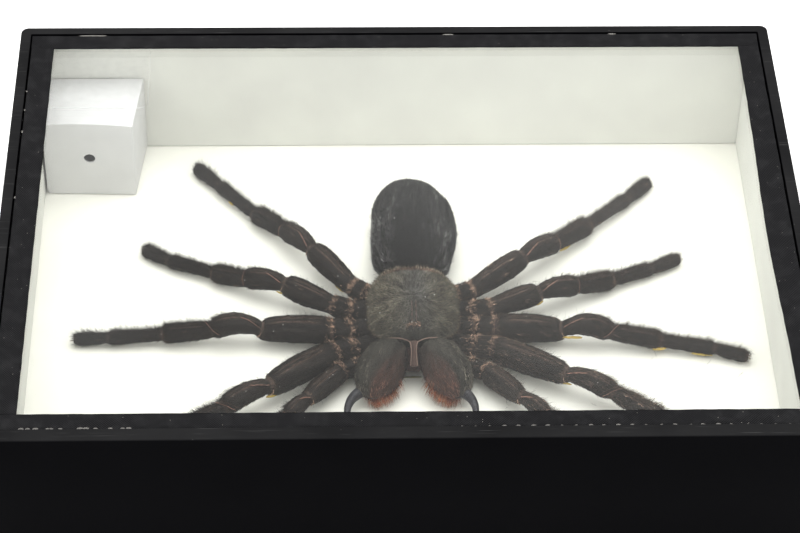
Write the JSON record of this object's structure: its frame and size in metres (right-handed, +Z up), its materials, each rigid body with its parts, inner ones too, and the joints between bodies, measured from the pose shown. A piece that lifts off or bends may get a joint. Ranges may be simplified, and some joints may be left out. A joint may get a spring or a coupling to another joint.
{
  "type": "framed tarantula specimen",
  "caption": "Dried tarantula spread flat inside a shallow black glazed shadow box with a white backing board, white side liners and a small folded paper repellent carton.",
  "frame": {"origin": "middle of the outline of the box's back face, with the box lying on its back", "axes": "+X along the long sides, towards the animal's left legs; +Y from the animal's jaws to its rear; +Z up, out of the back face and through the glass"},
  "size_m": [0.2, 0.15, 0.045],
  "materials": {
    "rail": "wrapped in satin black foil",
    "panel": "thin hardboard, plain",
    "card": "matt white card",
    "glass": "clear float glass",
    "tape": "black woven tape, matt",
    "film": "clear self-adhesive film",
    "paper": "folded white paper board",
    "cuticle": "dried cuticle under short dark hair",
    "abdomen": "velvety dark hair",
    "fang": "glossy blue-black horn"
  },
  "bodies": {
    "root": {"rail_front": "rail", "rail_back": "rail", "rail_left": "rail", "rail_right": "rail", "back_panel": "panel", "backing_board": "card", "liner_front": "card", "liner_back": "card", "liner_left": "card", "liner_right": "card", "glass_pane": "glass", "tape_front": "tape", "tape_back": "tape", "tape_left": "tape", "tape_right": "tape", "clear_label": "film", "repellent_carton": "paper", "carapace": "cuticle", "abdomen": "abdomen", "spinneret_left": "cuticle", "spinneret_right": "cuticle", "chelicera_left": "cuticle", "chelicera_right": "cuticle", "fang_left": "fang", "fang_right": "fang", "palp_left": "cuticle", "palp_right": "cuticle", "leg_left_1": "cuticle", "leg_left_2": "cuticle", "leg_left_3": "cuticle", "leg_left_4": "cuticle", "leg_right_1": "cuticle", "leg_right_2": "cuticle", "leg_right_3": "cuticle", "leg_right_4": "cuticle"}
  },
  "joints": []
}
